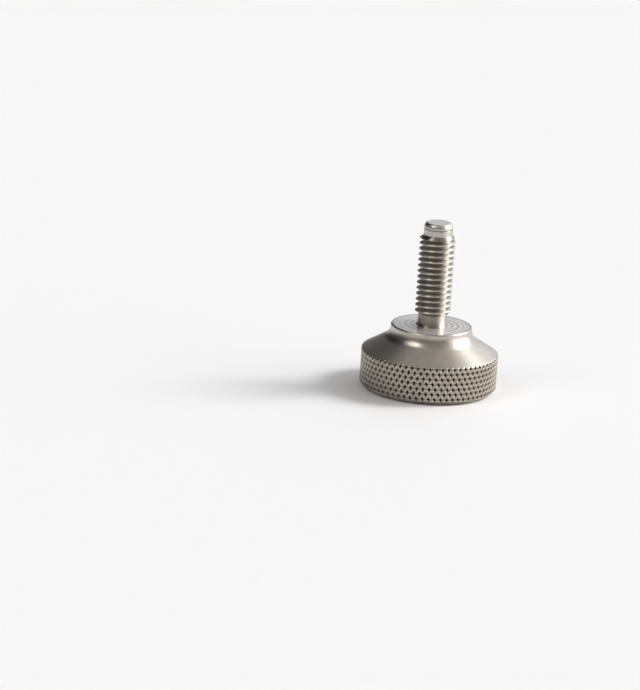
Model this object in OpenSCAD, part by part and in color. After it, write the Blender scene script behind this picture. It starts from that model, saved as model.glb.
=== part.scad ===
// Mounting knob: a knurled head, a boss with a flat shoulder and a threaded stud,
// turned as one piece from round bar. It stands on its head, stud up, at z = 0.

/* [Head] */
// Diameter over the knurl
head_d = 19; // [16.5:0.5:30]
// Height of the knurled band, from the flat end to the foot of the cone
band_h = 5.25; // [3.5:0.05:9]
// Chamfer round the flat end, below the knurl
end_chamfer = 0.65; // [0.5:0.05:1.2]
// Slope of the cone above the knurl, in degrees from the horizontal
cone_slope = 31; // [20:1:45]

/* [Knurl] */
// Number of pits in each row round the head
row_pits = 70; // [40:1:80]
// Angle between the lines of pits and the axis, in degrees
knurl_angle = 30.8; // [25:0.2:40]
// Width of the land left between two lines of pits
land_w = 0.26; // [0.12:0.02:0.36]
// Included angle of the pits' walls, in degrees
pit_v = 80; // [70:1:110]
// How far below the cone the top row of pits is centred
top_row_drop = 0.05; // [0.02:0.01:0.3]

/* [Boss] */
// Diameter of the boss that seats on the panel
boss_d = 11.3; // [9:0.1:13]
// Height of the boss's straight wall, between the waist and the rim
boss_wall_h = 0.5; // [0.2:0.05:4]
// Radius of the hollow waist between the cone and the boss
waist_r = 1.4; // [0.5:0.1:2]
// Chamfer on the rim of the boss
rim_chamfer = 0.15; // [0.05:0.05:0.5]

/* [Stud] */
// Major diameter of the thread
thread_d = 5; // [4:0.5:8]
// Length of the stud, from the shoulder face to its tip
stud_len = 14.6; // [8:0.2:40]
// How deep the relief is cut below the thread's major diameter, on the radius
relief_depth = 0.5; // [0.4:0.05:0.9]
// Length of the relief, from the shoulder face
relief_len = 1.8; // [1:0.1:3]
// Radius of the fillet at the foot of the relief
relief_fillet = 0.25; // [0.1:0.05:0.3]
// How far the dog point steps in from the thread's major diameter, on the radius
dog_step = 0.5; // [0.4:0.05:0.8]
// Length of the dog point
dog_len = 1.65; // [1:0.05:4]
// Radius of the rounded edge of the dog point
dog_round = 0.7; // [0.2:0.05:0.9]

/* [Hidden] */
$fn = 96;
STEEL = [0.62, 0.6, 0.57];

head_r = head_d / 2;
boss_r = boss_d / 2;
thread_r = thread_d / 2;
relief_r = thread_r - relief_depth;
dog_r = thread_r - dog_step;

// The knurling wheel presses lines of pits that cross. The land between two lines and the
// angle of the wheel's teeth set how deep a pit goes.
line_pitch = PI * head_d / row_pits * cos(knurl_angle);
pit_depth = (line_pitch - land_w) / 2 / tan(pit_v / 2);
pit_share = 1 - land_w / line_pitch;

// Neighbouring rows lie half a pit apart round the head, and this far apart along it.
half_turn = 180 / row_pits;
row_step = PI * head_r / row_pits / tan(knurl_angle);

// The waist rolls off the cone and up into the boss's wall.
waist_centre_h = band_h + (head_r - boss_r - waist_r) * tan(cone_slope) + waist_r / cos(cone_slope);
shoulder_h = waist_centre_h + boss_wall_h + rim_chamfer;
tip_h = shoulder_h + stud_len;

// Rows are counted down from the cone, as far as the last one centred above the chamfer.
top_row_h = band_h - top_row_drop;
last_row = floor((top_row_h - end_chamfer) / row_step);

// The tooth of the wheel that presses one pit, at angle 0: a four-sided spike, whose base
// lies a little outside the band.
module tooth() {
    clear = 0.1;
    grown = (pit_depth + clear) / pit_depth;
    base_r = head_r + clear;
    across = pit_share * PI * head_r / row_pits * grown;
    along = pit_share * row_step * grown;
    polyhedron(
        [[head_r - pit_depth, 0, 0],
         [base_r, across, 0], [base_r, 0, along], [base_r, -across, 0], [base_r, 0, -along]],
        [[1, 4, 3, 2], [0, 4, 1], [0, 3, 4], [0, 2, 3], [0, 1, 2]]);
}

// Diamond knurl: rows of four-sided pits, every second row half a pit round from its neighbours
module knurl() {
    for (row = [0 : last_row], i = [0 : row_pits - 1])
        rotate([0, 0, (2 * i + (row + 1) % 2) * half_turn])
            translate([0, 0, top_row_h - row * row_step]) tooth();
}

// A square corner of the outline filled with a fillet of radius r, centred at [x, y]
module corner_fillet(x, y, r) {
    difference() {
        translate([x - r, y - r]) square(r);
        translate([x, y]) circle(r);
    }
}

// Half of the knob's outline, as the lathe tool follows it
module outline() {
    cone_top_h = band_h + (head_r - boss_r) * tan(cone_slope);
    thread_foot_h = shoulder_h + relief_len + relief_depth;
    thread_end_h = tip_h - dog_len - dog_step;
    polygon([
        [0, 0], [head_r - end_chamfer, 0], [head_r, end_chamfer],
        [head_r, band_h], [boss_r, cone_top_h],
        [boss_r, shoulder_h - rim_chamfer], [boss_r - rim_chamfer, shoulder_h],
        [relief_r, shoulder_h], [relief_r, shoulder_h + relief_len],
        [thread_r, thread_foot_h], [thread_r, thread_end_h],
        [dog_r, tip_h - dog_len], [dog_r, tip_h - dog_round], [dog_r - dog_round, tip_h], [0, tip_h]
    ]);
    corner_fillet(relief_r + relief_fillet, shoulder_h + relief_fillet, relief_fillet);
    waist_fill(cone_top_h);
    dog_corner();
}

// Metal in the hollow between the cone and the boss, down to the waist's arc
module waist_fill(corner_h) {
    centre = [boss_r + waist_r, waist_centre_h];
    off_cone = centre - waist_r * [sin(cone_slope), cos(cone_slope)];
    difference() {
        polygon([[boss_r, corner_h], off_cone, centre, [boss_r, waist_centre_h]]);
        translate(centre) circle(waist_r);
    }
}

// The rounded edge of the dog point
module dog_corner() {
    intersection() {
        translate([dog_r - dog_round, tip_h - dog_round]) circle(dog_round);
        translate([dog_r - dog_round, tip_h - dog_round]) square(dog_round);
    }
}

// The turned blank starts its round at an angle that no row of pits is centred on.
module knob() {
    color(STEEL) difference() {
        rotate([0, 0, half_turn / 2]) rotate_extrude() outline();
        knurl();
    }
}

knob();
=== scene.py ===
# %% [markdown]
# # A knurled mounting knob, turned from one bar of stainless steel
#
# This lesson dresses a plain CAD model in Blender. The real part is a thumb screw: a broad head
# with a diamond knurl for the fingers, a cone and a hollow waist, a small round boss, and a
# threaded stud that ends in a plain dog point. It stands on its head, with the stud up.
#
# The CAD model fixes where everything is. It is loaded first, and nothing here changes its size.

# %% Load the CAD model
import math

import bpy
import numpy as np
from mathutils import Matrix, Vector


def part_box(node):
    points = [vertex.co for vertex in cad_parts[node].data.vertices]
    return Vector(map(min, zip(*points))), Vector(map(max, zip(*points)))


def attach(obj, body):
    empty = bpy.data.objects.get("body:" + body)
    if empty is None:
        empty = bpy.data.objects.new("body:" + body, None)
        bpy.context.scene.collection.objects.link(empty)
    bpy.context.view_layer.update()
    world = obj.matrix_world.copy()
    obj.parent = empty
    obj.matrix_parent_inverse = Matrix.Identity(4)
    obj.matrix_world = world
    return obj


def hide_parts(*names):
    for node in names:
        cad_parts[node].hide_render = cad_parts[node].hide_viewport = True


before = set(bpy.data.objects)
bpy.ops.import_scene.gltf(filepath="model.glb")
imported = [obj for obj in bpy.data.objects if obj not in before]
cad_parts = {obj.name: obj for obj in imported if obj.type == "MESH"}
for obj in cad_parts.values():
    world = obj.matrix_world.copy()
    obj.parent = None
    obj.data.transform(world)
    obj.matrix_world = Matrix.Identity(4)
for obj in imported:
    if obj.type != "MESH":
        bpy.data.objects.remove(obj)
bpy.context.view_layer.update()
low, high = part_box("knob")
print("the CAD knob is", [round(1000 * side, 2) for side in high - low], "mm")

# %% [markdown]
# ## The sizes of the knob
#
# A turned part is described by radii and heights from one end. The sizes that shape it are kept
# here, in millimetres, as they would stand on the workshop drawing. One small number turns them
# into the metres that Blender works in.

# %% The sizes, in millimetres
MM = 0.001

HEAD_R = 9.5          # over the knurl
BAND_TOP = 5.25       # where the cone starts
END_CHAMFER = 0.65    # round the foot of the head
CONE_SLOPE = 31.0     # degrees from level
KNURL_TOP = 5.94      # above this the cone is whole

ROW_PITS = 70         # pits in one row of the knurl
ROW_STEP = 0.7152     # from one row to the next
ROW_MIDDLE = 3.0544   # height of the middle row
PIT_DEPTH = 0.283
PIT_SHARE = 0.6465    # of the knurl's width that is pit, and the rest is land

WAIST_R = 1.9
BOSS_R = 5.65
BOSS_FACE = 9.005     # height of the shoulder face
RIM_CHAMFER = 0.15

STUD_R = 2.5
ROOT_R = 2.0          # at the bottom of the thread
PITCH = 0.8
NECK_R = 2.0
NECK_FILLET = 0.25
THREAD_START = 10.65  # where the thread starts to rise from the neck
THREAD_END = 21.955   # where it has run out
DOG_R = 2.0
DOG_ROUND = 0.72
DOG_SWEEP = 62.0      # degrees of arc before the flat tip
TIP = 23.605

slope = math.radians(CONE_SLOPE)
waist_centre_r = BOSS_R + WAIST_R
waist_centre_h = BAND_TOP + (HEAD_R - waist_centre_r) * math.tan(slope) + WAIST_R / math.cos(slope)
print("the waist arc is centred", round(waist_centre_h, 3), "mm above the foot")

# %% [markdown]
# ## Writing node maths as plain sums
#
# Both the shapes and the finishes below are built from nodes. A sum of six terms would take six
# Math nodes and a page of links, so a small class wraps one socket and gives it the usual
# signs. Writing a + b adds the Math node and joins it. The same class serves shader trees and
# Geometry Nodes trees, because the Math node is the same in both.

# %% A socket that can be added and multiplied
class Wire:
    """One output socket of a node tree."""

    def __init__(self, bench, socket):
        self.bench = bench
        self.socket = socket

    def math(self, operation, *others):
        node = self.bench.tree.nodes.new("ShaderNodeMath")
        node.operation = operation
        for place, value in enumerate((self,) + others):
            self.bench.join(value, node.inputs[place])
        return Wire(self.bench, node.outputs[0])

    def __add__(self, other):
        return self.math("ADD", other)

    def __sub__(self, other):
        return self.math("SUBTRACT", other)

    def __rsub__(self, other):
        return (self * -1.0) + other

    def __mul__(self, other):
        return self.math("MULTIPLY", other)

    def __truediv__(self, other):
        return self.math("DIVIDE", other)

    def least(self, other):
        return self.math("MINIMUM", other)

    def most(self, other):
        return self.math("MAXIMUM", other)

    def to_nearest(self):
        """How far the value is from the nearest whole number, from 0 to a half."""
        return (self - self.math("ROUND")).math("ABSOLUTE")

    def within(self, start, end):
        """0 below start, 1 above end, and a soft step between."""
        return self.bench.add(
            "ShaderNodeMapRange",
            {"interpolation_type": "SMOOTHSTEP"},
            {"Value": self, "From Min": start, "From Max": end, "To Min": 0.0, "To Max": 1.0},
        ).out("Result")

    def near(self, place, core, edge):
        """1 where the value is closer than core to the place, and 0 beyond the edge."""
        return 1.0 - (self - place).math("ABSOLUTE").within(core, edge)


class Step:
    """A node that has been added, and whose outputs are asked for by name."""

    def __init__(self, bench, node):
        self.bench = bench
        self.node = node

    def out(self, name=0):
        return Wire(self.bench, self.node.outputs[name])


class Bench:
    """A node tree being wired."""

    def __init__(self, tree):
        self.tree = tree

    def join(self, value, socket):
        if isinstance(value, Wire):
            self.tree.links.new(value.socket, socket)
        else:
            socket.default_value = value

    def add(self, kind, settings=None, sockets=None):
        node = self.tree.nodes.new(kind)
        for name, value in (settings or {}).items():
            setattr(node, name, value)
        for name, value in (sockets or {}).items():
            self.join(value, node.inputs[name])
        return Step(self, node)

    def blend(self, factor, first, second):
        """A colour between two colours."""
        node = self.tree.nodes.new("ShaderNodeMix")
        node.data_type = "RGBA"
        # The node has sockets for other kinds of value too, and these are the ones for colours.
        for place, value in ((0, factor), (6, first), (7, second)):
            self.join(value, node.inputs[place])
        return Wire(self, node.outputs[2])


print("node maths ready")

# %% [markdown]
# ## The steel
#
# Stainless steel has almost no colour of its own, so its finish is all in how it scatters
# light. A lathe tool leaves rings that run round the axis: they stretch each reflection across
# the rings, which is what the Anisotropic value does. Finer marks are added as a bump, and the
# roughness changes a little from place to place, as it does on steel that has been handled.
#
# One class makes every steel in this lesson. It keeps the radius and the height at each point
# at hand, so that a dark line or a ring can be hung on them afterwards.

# %% A stainless steel with turning marks
CLOUD_FINENESS = 900.0    # worn patches, in cells for each metre
GRAIN_FINENESS = 5200.0   # the finest grain, in the same unit
WORN = (0.9, 0.885, 0.86)   # how much red, green and blue is left where it is worn
CLOUD_CHANGE = 0.12       # how far the patches and the rings change the roughness
RING_CHANGE = 0.1
ALONG_THE_RINGS = 0.25    # a quarter of a turn from the default direction
MARK_SEED = 3.0           # where the noise of the marks starts


def ring_height(bench, across, fineness, seed):
    """Tool marks: noise that changes across the rings and stays the same along them."""
    return bench.add(
        "ShaderNodeTexNoise",
        {"noise_dimensions": "1D"},
        {"W": across * fineness + seed, "Scale": 1.0, "Detail": 3.0, "Roughness": 0.6},
    ).out("Fac")


class Steel:
    """Bare turned steel, with the values at each point that later marks are hung on."""

    def __init__(self, name, colour, roughness, anisotropic, marks, mark_depth):
        self.material = bpy.data.materials.new(name)
        self.material.use_nodes = True
        self.bench = Bench(self.material.node_tree)
        self.shader = self.material.node_tree.nodes["Principled BSDF"]
        place = self.bench.add("ShaderNodeTexCoord").out("Object")
        parts = self.bench.add("ShaderNodeSeparateXYZ", None, {"Vector": place})
        y = parts.out("Y")
        self.x = parts.out("X")
        self.z = parts.out("Z")
        self.radius = (self.x * self.x + y * y).math("SQRT")
        rings = ring_height(self.bench, self.radius + self.z, marks, MARK_SEED)
        cloud = self.noise(place, CLOUD_FINENESS, detail=3.0)
        grain = self.noise(place, GRAIN_FINENESS, detail=2.0)
        worn = [whole * left for whole, left in zip(colour, WORN)]
        self.tone = self.bench.blend(cloud.within(0.3, 0.7), (*colour, 1.0), (*worn, 1.0))
        self.set("Base Color", self.tone)
        uneven = (cloud - 0.5) * CLOUD_CHANGE + (rings - 0.5) * RING_CHANGE
        self.set("Roughness", uneven + roughness)
        bump = self.bench.add(
            "ShaderNodeBump", None,
            {"Height": rings + grain * 0.5, "Distance": mark_depth, "Strength": 1.0},
        )
        self.set("Normal", bump.out("Normal"))
        self.set("Metallic", 1.0)
        self.set("Anisotropic", anisotropic)
        self.set("Anisotropic Rotation", ALONG_THE_RINGS)

    def noise(self, place, fineness, detail):
        sockets = {"Vector": place, "Scale": fineness, "Detail": detail}
        return self.bench.add("ShaderNodeTexNoise", None, sockets).out("Fac")

    def set(self, name, value):
        self.bench.join(value, self.shader.inputs[name])

    def attribute(self, name):
        """A value that the mesh carries at each of its points."""
        return self.bench.add("ShaderNodeAttribute", {"attribute_name": name}).out("Fac")

    def darken(self, colour, where, strength):
        """Mixes a darker colour in, most where the value is 1 and not at all where it is 0."""
        self.tone = self.bench.blend(where * strength, self.tone, (*colour, 1.0))
        self.set("Base Color", self.tone)


turned = Steel(
    "turned_steel", (0.575, 0.53, 0.475),
    roughness=0.36, anisotropic=0.45, marks=9000.0, mark_depth=2.0e-6,
)
print("first finish:", turned.material.name)

# %% [markdown]
# ## Finishes for the flat faces and the dog point
#
# The tool that faced the shoulder fed inward and left rings wide enough to see, with one darker
# line just inside the rim. The rings scatter light, yet the face still mirrors the foot of the
# stud, so its rough steel has a thin smooth coat that brings back a sharp, weak reflection. The
# dog point is plain, with painted shade along the fine tool-line groove round it.

# %% Faced steel and the steel of the dog point
# a dark brown, painted in as shade in the thread's roots and the dog point's tool-line groove, and
# used for the darker line on the shoulder face
DARK_BROWN = (0.06, 0.045, 0.03)
FEED_GREY = (0.30, 0.275, 0.25)
FEED_FINENESS = 2300.0    # the wide rings, in cells for each metre
FEED_SEED = 7.0
RIM_LINE_R = 5.38         # radius of the dark line on the shoulder face, in millimetres
TOOL_LINE = 22.78         # height of the tool line on the dog point

faced = Steel(
    "faced_steel", (0.86, 0.83, 0.79),
    roughness=0.62, anisotropic=0.0, marks=2600.0, mark_depth=2.0e-5,
)
for name, value in {"Coat Weight": 1.0, "Coat Roughness": 0.12, "Coat IOR": 1.8}.items():
    faced.set(name, value)
feed_lines = ring_height(faced.bench, faced.radius, FEED_FINENESS, FEED_SEED)
faced.darken(FEED_GREY, feed_lines.within(0.42, 0.62), strength=0.55)
rim_line = faced.radius.near(RIM_LINE_R * MM, core=0.03 * MM, edge=0.11 * MM)
faced.darken(DARK_BROWN, rim_line, strength=0.75)

pointed = Steel(
    "point_steel", (0.60, 0.57, 0.53),
    roughness=0.42, anisotropic=0.3, marks=9000.0, mark_depth=2.0e-6,
)
# painted shade in the groove of the tool line
tool_line_shade = pointed.z.near(TOOL_LINE * MM, core=0.04 * MM, edge=0.14 * MM)
pointed.darken(DARK_BROWN, tool_line_shade, strength=0.5)
print("finishes:", faced.material.name, pointed.material.name)

# %% [markdown]
# ## Finishes that read the mesh
#
# Shade gathers in the pits of a knurl and in the roots of a thread, and these two finishes paint it
# into the colour. Both shapes will store how deep each of their points is sunk, and the finishes
# read that value and paint shade into what is deep. The knurl also gets painted shade along each
# row, between one pit and the next. On its +X side, where the light falls into the thread, less
# shade is painted, along one strip at the front and one at the back.

# %% The steel of the knurl and of the thread
ROW_SHADE_GREY = (0.20, 0.175, 0.15)
PIT_SHADE_GREY = (0.105, 0.088, 0.064)
LIT_STRIP_LIFT = 0.75             # how much of the thread's painted shade is left out on the lit strips

knurled = Steel(
    "knurled_steel", (0.47, 0.425, 0.37),
    roughness=0.32, anisotropic=0.0, marks=3000.0, mark_depth=1.0e-6,
)
# painted shade along each row of the knurl, between one pit and the next
knurled.darken(ROW_SHADE_GREY, knurled.attribute("row_shade"), strength=0.8)
# painted shade in the pits, darker where they are deeper
knurled.darken(PIT_SHADE_GREY, knurled.attribute("sunk").within(0.03, 0.65), strength=0.88)

threaded = Steel(
    "threaded_steel", (0.70, 0.655, 0.60),
    roughness=0.32, anisotropic=0.8, marks=9000.0, mark_depth=1.0e-6,
)
# painted shade in the thread's roots, lifted along two strips on the +X side, where the light from
# the right falls into the thread
strip_start = threaded.x.within(0.3 * MM, 1.4 * MM)
strip_end = threaded.x.within(1.4 * MM, 2.1 * MM)
shade_kept = 1.0 - strip_start * (1.0 - strip_end) * LIT_STRIP_LIFT
threaded.darken(DARK_BROWN, threaded.attribute("sunk").within(0.0, 0.75) * shade_kept, strength=0.68)
print("finishes:", knurled.material.name, threaded.material.name)

# %% [markdown]
# ## Bending a flat grid into a solid
#
# The knurled head and the thread both follow a rule: at any angle and height, a sum gives the
# radius. Geometry Nodes can work that sum out for a whole mesh. It starts with a flat grid, whose
# width stands for the angle and whose length stands for the height, bends the grid round the
# axis and sets each vertex at its radius. Two flat discs close the ends, and points that meet
# are welded, so that the result is one closed solid.

# %% Helpers for the two rules
WELD = 2.0e-6             # metres; closer points become one


def new_tree(name, floats, counts, materials):
    """A Geometry Nodes tree with a named input for each of its sizes."""
    tree = bpy.data.node_groups.new(name, "GeometryNodeTree")
    tree.interface.new_socket("Geometry", in_out="OUTPUT", socket_type="NodeSocketGeometry")
    tree.interface.new_socket("Geometry", in_out="INPUT", socket_type="NodeSocketGeometry")
    for kind, labels in (("Float", floats), ("Int", counts), ("Material", materials)):
        for label in labels:
            tree.interface.new_socket(label, in_out="INPUT", socket_type="NodeSocket" + kind)
    return tree


def flat_grid(bench, given):
    """A flat grid, and the angle and the height that each of its points stands for."""
    grid = bench.add(
        "GeometryNodeMeshGrid", None,
        {"Size X": 2 * math.pi, "Size Y": given.out("Height"),
         "Vertices X": given.out("Columns"), "Vertices Y": given.out("Rows")},
    )
    position = bench.add("GeometryNodeInputPosition").out()
    place = bench.add("ShaderNodeSeparateXYZ", None, {"Vector": position})
    return grid.out("Mesh"), place.out("X"), place.out("Y") + given.out("Height") * 0.5


def store(bench, mesh, name, value):
    """Keeps a value at each point of the mesh, where a finish can read it."""
    settings = {"data_type": "FLOAT", "domain": "POINT"}
    sockets = {"Geometry": mesh, "Name": name, "Value": value}
    return bench.add("GeometryNodeStoreNamedAttribute", settings, sockets).out("Geometry")


def bend(bench, mesh, radius, angle, height):
    """Bends the flat grid round the axis."""
    bent = bench.add(
        "ShaderNodeCombineXYZ", None,
        {"X": radius * angle.math("COSINE"), "Y": radius * angle.math("SINE"), "Z": height},
    )
    sockets = {"Geometry": mesh, "Position": bent.out()}
    return bench.add("GeometryNodeSetPosition", None, sockets).out("Geometry")


def disc(bench, given, radius, height, facing_down=False):
    """A flat face that closes one end."""
    sockets = {"Vertices": given.out("Columns") - 1.0, "Radius": radius}
    flat = bench.add("GeometryNodeMeshCircle", {"fill_type": "NGON"}, sockets).out("Mesh")
    if facing_down:
        flat = bench.add("GeometryNodeFlipFaces", None, {"Mesh": flat}).out("Mesh")
    level = bench.add("ShaderNodeCombineXYZ", None, {"Z": height}).out()
    sockets = {"Geometry": flat, "Translation": level}
    return bench.add("GeometryNodeTransform", None, sockets).out("Geometry")


def weld(bench, parts):
    """Joins the parts where their points meet."""
    both = bench.add("GeometryNodeJoinGeometry")
    for part in parts:
        bench.join(part, both.node.inputs["Geometry"])
    sockets = {"Geometry": both.out("Geometry"), "Distance": WELD}
    welded = bench.add("GeometryNodeMergeByDistance", None, sockets).out("Geometry")
    return bench.add("GeometryNodeRealizeInstances", None, {"Geometry": welded}).out("Geometry")


def clad(bench, mesh, material, where=True):
    """Gives a material to the faces where the value is true."""
    sockets = {"Geometry": mesh, "Selection": where, "Material": material}
    return bench.add("GeometryNodeSetMaterial", None, sockets).out("Geometry")


def make_from(tree, name, values):
    """Runs the tree on an empty object and returns the result as a plain mesh object."""
    seed_mesh = bpy.data.meshes.new(name + "_seed")
    seed = bpy.data.objects.new(name + "_seed", seed_mesh)
    bpy.context.collection.objects.link(seed)
    modifier = seed.modifiers.new("rule", "NODES")
    modifier.node_group = tree
    for item in tree.interface.items_tree:
        if item.in_out == "INPUT" and item.name in values:
            modifier[item.identifier] = values[item.name]
    graph = bpy.context.evaluated_depsgraph_get()
    graph.update()
    mesh = bpy.data.meshes.new_from_object(seed.evaluated_get(graph))
    mesh.name = name
    seed.modifiers.remove(modifier)
    bpy.data.objects.remove(seed)
    bpy.data.meshes.remove(seed_mesh)
    made = bpy.data.objects.new(name, mesh)
    bpy.context.collection.objects.link(made)
    return made


print("helpers for bending a grid ready")

# %% [markdown]
# ## The rule for the knurl
#
# The knurl is pressed by a toothed wheel: rows of four-sided pits, every second row shifted by
# half a pit, with a smooth land left between the slanting lines that the pits stand in. At any
# angle and height, the distances to the nearest line of each slant say how deep the steel is
# pressed there. The chamfer and the cone then cut the field off, so the top row is cut in half
# where the cone starts.

# %% The radius at each angle and height
TIE = 1.0e-7              # metres; a point that lies on both counts as cone

knurl = new_tree(
    "knurl_rule",
    floats=("Radius", "Chamfer", "Cone Start", "Cone Slope", "Height", "Pits Round",
            "Row Step", "Row Middle", "Pit Depth", "Pit Share"),
    counts=("Columns", "Rows"),
    materials=("Cut Steel", "Plain Steel"),
)
bench = Bench(knurl)
given = bench.add("NodeGroupInput")
mesh, angle, height = flat_grid(bench, given)
rim = given.out("Radius")
tangent = given.out("Cone Slope").math("TANGENT")

turns = angle * given.out("Pits Round") / (2 * math.pi)
climb = (height - given.out("Row Middle")) / (given.out("Row Step") * 2.0)
one = (turns + climb).to_nearest() * 2.0
two = (turns - climb).to_nearest() * 2.0
sunk = (1.0 - one.most(two) / given.out("Pit Share")).most(0.0)
field = rim - given.out("Pit Depth") * sunk

cone = rim - (height - given.out("Cone Start")) / tangent
foot = rim - given.out("Chamfer") + height
plain_r = rim.least(cone).least(foot)
radius = field.least(plain_r)
print("the knurl's rule has", len(knurl.nodes), "nodes so far")

# %% [markdown]
# ## The knurled head
#
# The grid stores what the rule knows before it is bent: which points lie on the plain cone, how
# deep each point is sunk, and whether it lies in a row. The first picks the material, and the
# knurl's finish reads the other two to paint shade into the pits and along the rows.

# %% Bend, close and run the knurl's rule
PIT_COLUMNS = 12          # faces round the head for each pit and its land
HEAD_COLUMNS = ROW_PITS * PIT_COLUMNS + 1
HEAD_ROWS = 81
STRIPE_CORE = 0.05        # the darker stripe along each row, in row steps from its middle
STRIPE_EDGE = 0.27

from_row = ((height - given.out("Row Middle")) / given.out("Row Step")).to_nearest()
on_band = height.math("GREATER_THAN", given.out("Chamfer"))
mesh = store(bench, mesh, "plain", cone.math("LESS_THAN", field + TIE))
# the depth that the knurl's finish turns into painted shade in the pits
mesh = store(bench, mesh, "sunk", (plain_r - radius) / given.out("Pit Depth"))
# a stripe of painted shade along the middle of each row, on the band only
mesh = store(bench, mesh, "row_shade", (1.0 - from_row.within(STRIPE_CORE, STRIPE_EDGE)) * on_band)
mesh = bend(bench, mesh, radius, angle, height)

top_r = rim - (given.out("Height") - given.out("Cone Start")) / tangent
lid = disc(bench, given, top_r, given.out("Height"))
bottom = disc(bench, given, rim - given.out("Chamfer"), 0.0, facing_down=True)
solid = weld(bench, (lid, bottom, mesh))

is_plain = bench.add("GeometryNodeInputNamedAttribute", {"data_type": "FLOAT"}, {"Name": "plain"})
solid = clad(bench, solid, given.out("Cut Steel"))
on_cone = is_plain.out("Attribute").math("GREATER_THAN", 0.5)
solid = clad(bench, solid, given.out("Plain Steel"), where=on_cone)
bench.add("NodeGroupOutput", None, {"Geometry": solid})

head = make_from(knurl, "knurled_head", {
    "Radius": HEAD_R * MM, "Chamfer": END_CHAMFER * MM, "Cone Start": BAND_TOP * MM,
    "Cone Slope": slope, "Height": KNURL_TOP * MM, "Pits Round": float(ROW_PITS),
    "Row Step": ROW_STEP * MM, "Row Middle": ROW_MIDDLE * MM, "Pit Depth": PIT_DEPTH * MM,
    "Pit Share": PIT_SHARE, "Columns": HEAD_COLUMNS, "Rows": HEAD_ROWS,
    "Cut Steel": knurled.material, "Plain Steel": turned.material,
})
print("knurled head:", len(head.data.vertices), "vertices,", len(head.data.polygons), "faces")

# %% [markdown]
# ## Turning an outline
#
# Where a piece is the same all the way round, one outline and one helper are enough, just as one
# path of the tool is enough on a lathe. The outline is a list of radius and height pairs, and
# its round stretches are arcs.

# %% Helpers that turn an outline round the axis
LATHE_CORNER = 25         # degrees; a sharper fold between two faces shows as an edge
JUST_UNDER = 0.001        # millimetres; what lies less than this below an edge belongs to it


def arc(centre_r, centre_h, radius, first, last, steps):
    """Points along an arc. The angles are in degrees."""
    points = []
    for step in range(steps + 1):
        turn = math.radians(first + (last - first) * step / steps)
        points.append((centre_r + radius * math.cos(turn), centre_h + radius * math.sin(turn)))
    return points


def lathe(name, outline, sides, material):
    """Turns (radius, height) pairs, in millimetres, round Z. Both ends lie on the axis."""
    rings = [pair for pair in outline if pair[0] > 0]
    turns = np.linspace(0, 2 * math.pi, sides, endpoint=False)
    points = [(r * MM * math.cos(a), r * MM * math.sin(a), h * MM) for r, h in rings for a in turns]
    faces = []
    for ring in range(len(rings) - 1):
        for side in range(sides):
            after = (side + 1) % sides
            start = ring * sides
            faces.append((start + side, start + after, start + sides + after, start + sides + side))
    first = len(points)
    points.append((0, 0, outline[0][1] * MM))
    points.append((0, 0, outline[-1][1] * MM))
    last = (len(rings) - 1) * sides
    for side in range(sides):
        after = (side + 1) % sides
        faces.append((first, after, side))
        faces.append((first + 1, last + side, last + after))
    mesh = bpy.data.meshes.new(name)
    mesh.from_pydata(points, [], faces)
    mesh.update()
    mesh.shade_smooth()
    mesh.set_sharp_from_angle(angle=math.radians(LATHE_CORNER))
    mesh.materials.append(material)
    made = bpy.data.objects.new(name, mesh)
    bpy.context.collection.objects.link(made)
    return made


def face_top(piece, top):
    """Gives the flat face at the top of a piece the faced finish."""
    piece.data.materials.append(faced.material)
    for face in piece.data.polygons:
        if face.center.z > (top - JUST_UNDER) * MM:
            face.material_index = 1


print("lathe ready")

# %% [markdown]
# ## The turned shoulder
#
# Above the knurl everything is turned. The outline climbs the cone, rolls through the hollow
# waist on an arc, runs up the boss's short wall and over a small chamfer on to the shoulder face.
# It starts inside the head and ends under the stud, so that no gap can show at either seam.

# %% The shoulder
INSIDE_H = 5.0            # height of its hidden foot, inside the head
LEDGE = 1.0               # how much smaller the hidden foot's radius is than the seam's
UNDER_STUD = 0.4          # how far inside the neck the face's last ring lies

cone_r = HEAD_R - (KNURL_TOP - BAND_TOP) / math.tan(slope)
meet_r = waist_centre_r - WAIST_R * math.sin(slope)
meet_h = waist_centre_h - WAIST_R * math.cos(slope)
outline = [(0, INSIDE_H), (cone_r - LEDGE, INSIDE_H), (cone_r, KNURL_TOP)]
for share in (0.25, 0.5, 0.75):
    outline.append((cone_r + (meet_r - cone_r) * share, KNURL_TOP + (meet_h - KNURL_TOP) * share))
outline += arc(waist_centre_r, waist_centre_h, WAIST_R, first=270 - CONE_SLOPE, last=180, steps=24)
outline += [(BOSS_R, BOSS_FACE - RIM_CHAMFER), (BOSS_R - RIM_CHAMFER, BOSS_FACE)]
outline += [(r, BOSS_FACE) for r in (5.0, 4.0, 3.0, NECK_R - UNDER_STUD, 0)]
shoulder = lathe("shoulder", outline, sides=272, material=turned.material)
face_top(shoulder, BOSS_FACE)
print("shoulder:", len(shoulder.data.polygons), "faces")

# %% [markdown]
# ## The rule for the thread
#
# A thread is a ridge that climbs one pitch per turn. On a grid bent round the axis this is one
# sum: the height less the angle's share of a pitch tells how far each point is from the nearest
# crest, and the slope of the flanks turns that distance into a radius. Smooth limits round the
# crest and the root. Two more limits cut the ridge back, to the neck under the thread and to the
# dog point above it. Subtracting the angle makes the ridge climb to the right, as on a
# right-hand screw.
#
# The sum under a square root is the fillet between the neck and the shoulder, a quarter of a
# circle.

# %% The radius of the stud at each angle and height
FLANK = 60                # degrees between a flank and the axis
CREST_ROUND = 0.06        # how softly the crest and the root are rounded, in millimetres
ROOT_ROUND = 0.12
RUN_IN = 1.5              # radius gained for each unit of height at the thread's lower end

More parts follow.
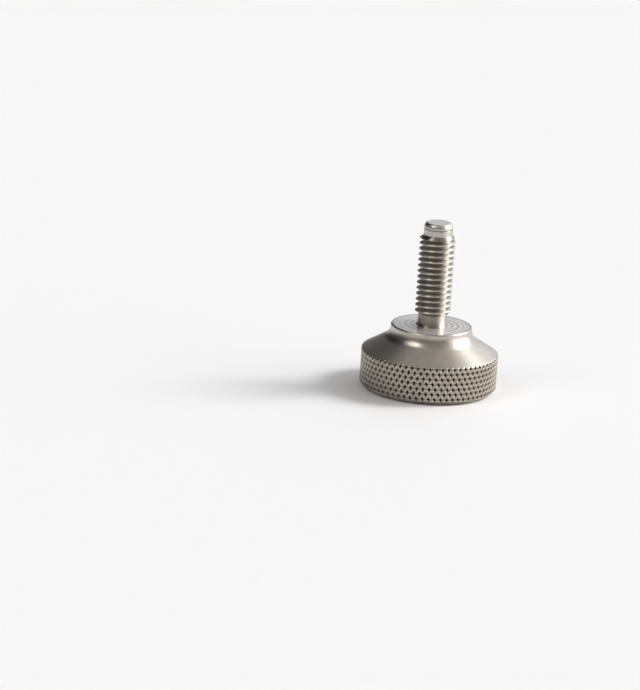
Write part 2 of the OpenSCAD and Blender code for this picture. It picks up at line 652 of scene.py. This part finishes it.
thread = new_tree(
    "thread_rule",
    floats=("Foot", "Height", "Outside Radius", "Root Radius", "Neck Radius", "Neck Fillet",
            "Shoulder", "Thread Start", "Thread End", "Pitch", "Crest Height", "Crest Width"),
    counts=("Columns", "Rows"),
    materials=("Steel",),
)
bench = Bench(thread)
given = bench.add("NodeGroupInput")
mesh, angle, above_foot = flat_grid(bench, given)
height = above_foot + given.out("Foot")
outside = given.out("Outside Radius")
root = given.out("Root Radius")
neck = given.out("Neck Radius")
fillet = given.out("Neck Fillet")

lead = (height - given.out("Crest Height")) / given.out("Pitch") - angle / (2 * math.pi)
from_crest = lead.to_nearest() * given.out("Pitch") - given.out("Crest Width") * 0.5
flank = outside - from_crest * math.tan(math.radians(FLANK))
form = flank.math("SMOOTH_MIN", outside, CREST_ROUND * MM)
form = form.math("SMOOTH_MAX", root, ROOT_ROUND * MM)

start = neck + (height - given.out("Thread Start")).most(0.0) * RUN_IN
end = neck + (given.out("Thread End") - height).most(0.0)
cut_back = start.least(end)
on_thread = form.math("LESS_THAN", cut_back)

under = (given.out("Shoulder") + fillet - height).most(0.0).least(fillet)
foot_r = neck + fillet - (fillet * fillet - under * under).most(0.0).math("SQRT")
radius = form.least(cut_back).most(foot_r)
print("the thread's rule has", len(thread.nodes), "nodes so far")

# %% [markdown]
# ## The threaded stud
#
# The stud stores how deep each point of the thread is sunk, for the painted shade in its roots. The
# rule has no depth to give off the thread, so the neck gets a middle value. The stud's foot is set
# a little into the shoulder, so that the two overlap.

# %% Bend, close and run the thread's rule
SET_IN = 0.2              # how far the stud's foot is let into the shoulder
CREST_HEIGHT = 21.0       # a crest crosses the +X side at this height
CREST_WIDTH = 0.1
NO_DEPTH = 0.5            # what the neck stores, as a share of the thread's depth
STUD_COLUMNS = 145
STUD_ROWS = 401

depth = (outside - form) / (outside - root) * on_thread + (1.0 - on_thread) * NO_DEPTH
# the depth that the thread's finish turns into painted shade in the roots
mesh = store(bench, mesh, "sunk", depth)
mesh = bend(bench, mesh, radius, angle, height)
lid = disc(bench, given, neck, given.out("Foot") + given.out("Height"))
bottom = disc(bench, given, neck + fillet, given.out("Foot"), facing_down=True)
solid = clad(bench, weld(bench, (lid, bottom, mesh)), given.out("Steel"))
bench.add("NodeGroupOutput", None, {"Geometry": solid})

stud = make_from(thread, "threaded_stud", {
    "Foot": (BOSS_FACE - SET_IN) * MM, "Height": (THREAD_END - BOSS_FACE + SET_IN) * MM,
    "Outside Radius": STUD_R * MM, "Root Radius": ROOT_R * MM, "Neck Radius": NECK_R * MM,
    "Neck Fillet": NECK_FILLET * MM, "Shoulder": BOSS_FACE * MM,
    "Thread Start": THREAD_START * MM, "Thread End": THREAD_END * MM, "Pitch": PITCH * MM,
    "Crest Height": CREST_HEIGHT * MM, "Crest Width": CREST_WIDTH * MM,
    "Columns": STUD_COLUMNS, "Rows": STUD_ROWS, "Steel": threaded.material,
})
print("threaded stud:", len(stud.data.polygons), "faces")

# %% [markdown]
# ## The dog point
#
# The stud ends in a short plain cylinder that finds the hole before the thread does. Its edge is
# rounded on an arc that stops short of the flat tip, so the tip keeps a crisp edge, and a fine
# tool line runs round it. It is turned from an outline, like the shoulder.

# %% The dog point
HIDDEN_R = 1.6            # radius and height of its foot, inside the stud
HIDDEN_H = 21.5
HIDDEN_EDGE = 0.1         # height of the bevel round the foot
LINE_DEPTH = 0.05         # depth of the groove that is the tool line
LINE_HALF = 0.08          # half the groove's width at the surface
LINE_FLOOR = 0.03         # half its width at the bottom
FLAT_RING = 1.0           # radius of a ring of points on the flat tip

floor_r = DOG_R - LINE_DEPTH
outline = [(0, HIDDEN_H), (HIDDEN_R, HIDDEN_H), (DOG_R, HIDDEN_H + HIDDEN_EDGE)]
outline += [(DOG_R, TOOL_LINE - LINE_HALF), (floor_r, TOOL_LINE - LINE_FLOOR)]
outline += [(floor_r, TOOL_LINE + LINE_FLOOR), (DOG_R, TOOL_LINE + LINE_HALF)]
edge_h = TIP - DOG_ROUND * math.sin(math.radians(DOG_SWEEP))
outline += arc(DOG_R - DOG_ROUND, edge_h, DOG_ROUND, first=0, last=DOG_SWEEP, steps=12)
outline += [(FLAT_RING, TIP), (0, TIP)]
dog = lathe("dog_point", outline, sides=144, material=pointed.material)
face_top(dog, TIP)
print("dog point:", len(dog.data.polygons), "faces")

# %% [markdown]
# ## Smooth shading, and the frame
#
# The grids are fine enough to shade as smooth surfaces, with the real corners kept sharp. The
# rim where the head meets the shoulder is marked sharp separately: the cone and the hidden lid of
# the head meet there, and without the mark their blended normals would draw a faint ring.
#
# All four pieces are one turned part, so all of them ride the root and stand in for the one CAD
# piece.

# %% Smooth the pieces and hang them on the frame
GRID_CORNER = 50          # degrees

for piece in (head, stud):
    piece.data.shade_smooth()
    piece.data.set_sharp_from_angle(angle=math.radians(GRID_CORNER))
for edge in head.data.edges:
    heights = [head.data.vertices[i].co.z for i in edge.vertices]
    if min(heights) > (KNURL_TOP - JUST_UNDER) * MM:
        edge.use_edge_sharp = True
for piece in (head, shoulder, stud, dog):
    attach(piece, "root")
    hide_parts("knob")
print("pieces:", [piece.name for piece in (head, shoulder, stud, dog)])

# %% [markdown]
# ## The floor
#
# The floor is a wide sheet of white paper. It is fully rough and has no shine, so that it shows
# the shadow and nothing else.

# %% The floor
REACH = 3.0               # metres from the middle to each edge
PAPER = (0.9, 0.9, 0.91, 1)

corners = [(-REACH, -REACH, 0), (REACH, -REACH, 0), (REACH, REACH, 0), (-REACH, REACH, 0)]
floor_mesh = bpy.data.meshes.new("floor")
floor_mesh.from_pydata(corners, [], [(0, 1, 2, 3)])
floor = bpy.data.objects.new("floor", floor_mesh)
bpy.context.collection.objects.link(floor)
paper = bpy.data.materials.new("white_paper")
paper.use_nodes = True
sheet = paper.node_tree.nodes["Principled BSDF"]
sheet.inputs["Base Color"].default_value = PAPER
sheet.inputs["Roughness"].default_value = 1.0
sheet.inputs["Specular IOR Level"].default_value = 0.0
floor_mesh.materials.append(paper)
print("floor:", 2 * REACH, "m across")

# %% [markdown]
# ## Light
#
# Polished steel shows its surroundings, so the studio is built into the world around it: a soft
# ceiling over the right of the set, a bright window at the far right, a glow behind, and two
# round soft boxes that make the two bright spots on the waist. The rest is dark, which gives the
# steel its dark edges. The light from the back is a little cooler than the light from the front.
#
# Each panel is a product of soft steps. The steps read the direction that a ray leaves in: to
# the right is +X, to the back is +Y and up is +Z.

# %% The studio in the world
world = bpy.data.worlds.new("studio")
bpy.context.scene.world = world
world.use_nodes = True
bench = Bench(world.node_tree)
direction = bench.add("ShaderNodeTexCoord").out("Generated")
toward = bench.add("ShaderNodeSeparateXYZ", None, {"Vector": direction})
to_right = toward.out("X")
to_back = toward.out("Y")
to_top = toward.out("Z")


def softbox(direction, inner, outer, strength):
    """A round lamp with a soft edge: whole within the inner angle, gone beyond the outer one."""
    aim = Vector(direction).normalized()
    facing = to_right * aim.x + to_back * aim.y + to_top * aim.z
    return facing.within(math.cos(math.radians(outer)), math.cos(math.radians(inner))) * strength


CEILING = 0.44            # how bright the three wide panels are
WINDOW = 3.3
GLOW = 0.8
WARM = (1.0, 0.98, 0.95, 1.0)
COOL = (0.92, 0.97, 1.05, 1.0)

weaker_in_front = to_back.within(-0.8, -0.2) * 0.4 + 0.6
ceiling = to_right.within(-0.55, -0.05) * weaker_in_front * to_top.within(0.0, 0.4) * CEILING
window = to_right.within(0.7, 1.0) * WINDOW
back = to_back.within(0.3, 0.85) * to_right.within(-0.15, 0.3) * GLOW
left_box = softbox((-0.54, -0.36, 0.76), inner=4, outer=18, strength=4.4)
right_box = softbox((0.70, 0.27, 0.66), inner=6, outer=32, strength=0.25)
light = ceiling + window + back + left_box + right_box

background = world.node_tree.nodes["Background"]
bench.join(bench.blend(to_back.within(0.3, 0.9), WARM, COOL), background.inputs["Color"])
bench.join(light, background.inputs["Strength"])
print("the world's tree has", len(world.node_tree.nodes), "nodes")

# %% [markdown]
# ## The sun
#
# The panels are too wide to draw a clear shadow, so one sun lamp does that. It stands on the
# right, a little to the back, and it is wide enough to give the shadow on the left a soft edge.

# %% The sun
SUN_STRENGTH = 2.15
SUN_WIDTH = 22            # degrees
SUN_FROM = (0.76, 0.22, 0.61)

sun_lamp = bpy.data.lights.new("key", "SUN")
sun_lamp.energy = SUN_STRENGTH
sun_lamp.angle = math.radians(SUN_WIDTH)
key = bpy.data.objects.new("key", sun_lamp)
bpy.context.collection.objects.link(key)
key.rotation_euler = Vector(SUN_FROM).to_track_quat("Z", "Y").to_euler()
print("world lamps: 5 panels,", "sun:", round(sun_lamp.energy, 2), "watts per square metre")

# %% [markdown]
# ## Camera
#
# The knob is small and the lens is long, so its edges stay nearly parallel. The camera looks
# down by about 16 degrees and is held slightly tilted. Two numbers set the scale: the width of
# one pixel at the knob, and the lens length counted in pixels. Two more say where the middle of
# the knob's foot falls in the finished picture.

# %% Camera
PICTURE_WIDTH = 640       # pixels
PICTURE_HEIGHT = 690
FOOT_ACROSS = 427.2       # pixels from the left edge to the middle of the knob's foot
FOOT_DOWN = 386.75        # pixels from the top edge
PIXEL = 0.1391e-3         # metres
LENS = 4316.0             # pixels
LOOK_DOWN = 15.66         # degrees
LEAN = 3.72               # degrees
SENSOR = 36               # millimetres along the picture's longer side

elevation = math.radians(LOOK_DOWN)
lean = math.radians(LEAN)
forward = Vector((0, math.cos(elevation), -math.sin(elevation)))
right = Vector((1, 0, 0))
up = right.cross(forward)
right_leaning = right * math.cos(lean) + up * math.sin(lean)
up_leaning = up * math.cos(lean) - right * math.sin(lean)

stand = -forward * LENS * PIXEL
stand -= right_leaning * (FOOT_ACROSS - PICTURE_WIDTH / 2) * PIXEL
stand += up_leaning * (FOOT_DOWN - PICTURE_HEIGHT / 2) * PIXEL
matrix = Matrix((right_leaning, up_leaning, -forward)).transposed().to_4x4()
matrix.translation = stand

camera_data = bpy.data.cameras.new("camera")
camera_data.sensor_width = SENSOR
camera_data.lens = LENS / PICTURE_HEIGHT * SENSOR
camera_data.clip_start = 0.01
camera = bpy.data.objects.new("camera", camera_data)
bpy.context.collection.objects.link(camera)
camera.matrix_world = matrix
bpy.context.scene.camera = camera
bpy.context.scene.view_settings.view_transform = "Standard"
print("camera is", round(stand.length, 3), "m from the knob, lens", round(camera_data.lens), "mm")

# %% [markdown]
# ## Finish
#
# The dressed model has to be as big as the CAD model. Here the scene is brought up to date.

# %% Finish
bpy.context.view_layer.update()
